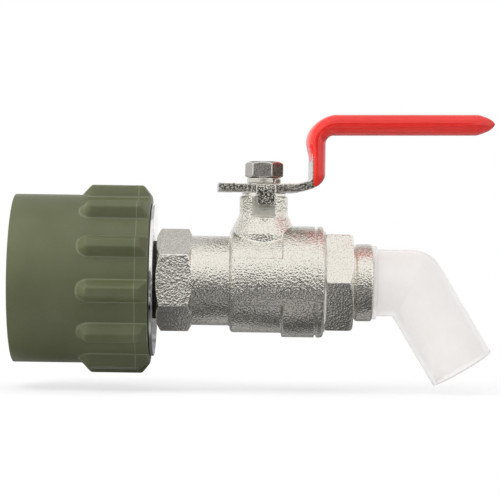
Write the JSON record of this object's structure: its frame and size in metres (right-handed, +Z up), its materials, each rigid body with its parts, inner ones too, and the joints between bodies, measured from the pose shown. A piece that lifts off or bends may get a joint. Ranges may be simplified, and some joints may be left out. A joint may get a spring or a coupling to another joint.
{
  "type": "honey gate valve",
  "caption": "Lever ball valve for a honey tank: ribbed coarse-thread tank nut, plated ball valve with a bent lever and vinyl grip, and a swivelling plastic spout.",
  "frame": {"origin": "on the pipe axis, at the first turns of the tank nut's thread, 3 mm inside its mouth", "axes": "+X along the pipe towards the spout, +Z up along the stem, -Y towards the viewer of the picture"},
  "size_m": [0.194, 0.0762, 0.1109],
  "materials": {
    "olive_plastic": "moulded olive-green plastic, satin",
    "plated_brass": "nickel-plated cast and turned brass",
    "bright_disc": "bright plated steel",
    "plated_steel": "nickel-plated steel",
    "red_vinyl": "glossy dipped vinyl",
    "black_rubber": "black rubber",
    "white_ptfe": "white slippery plastic",
    "milky_plastic": "milky translucent plastic"
  },
  "bodies": {
    "valve": {"valve_body": "plated_brass", "end_connector": "plated_brass", "connector_seal": "white_ptfe", "inlet_seat": "white_ptfe", "outlet_seat": "white_ptfe", "stem_thrust_washer": "white_ptfe", "stem_packing": "white_ptfe", "packing_gland": "bright_disc", "tail_piece": "plated_brass", "cover_disc": "bright_disc", "neck_seal": "black_rubber", "tank_gasket": "black_rubber", "spout_clip": "plated_steel"},
    "nut": {"coupling_nut": "olive_plastic"},
    "lever": {"stem": "plated_brass", "stem_o_ring": "black_rubber", "lever": "plated_steel", "lever_grip": "red_vinyl", "spring_washer": "plated_steel", "lever_nut": "plated_steel"},
    "ball": {"ball": "plated_brass"},
    "spout": {"spout_elbow": "milky_plastic", "spout_o_rings": "black_rubber"}
  },
  "joints": [
    {"name": "lever_turn", "type": "hinge", "parent": "valve", "child": "lever", "pos_m": [0.0976, 0, 0.036], "axis": [0, 0, 1], "range_deg": [-90, 0]},
    {"name": "ball_turn", "type": "hinge", "parent": "valve", "child": "ball", "pos_m": [0.0976, 0, 0], "axis": [0, 0, 1], "range_deg": [-90, 0]},
    {"name": "nut_spin", "type": "hinge", "parent": "valve", "child": "nut", "pos_m": [0.049, 0, 0], "axis": [1, 0, 0], "continuous": true},
    {"name": "spout_swivel", "type": "hinge", "parent": "valve", "child": "spout", "pos_m": [0.135, 0, 0], "axis": [1, 0, 0], "continuous": true}
  ],
  "couplings": [
    {"joint": "ball_turn", "follows": "lever_turn", "ratio": 1}
  ]
}
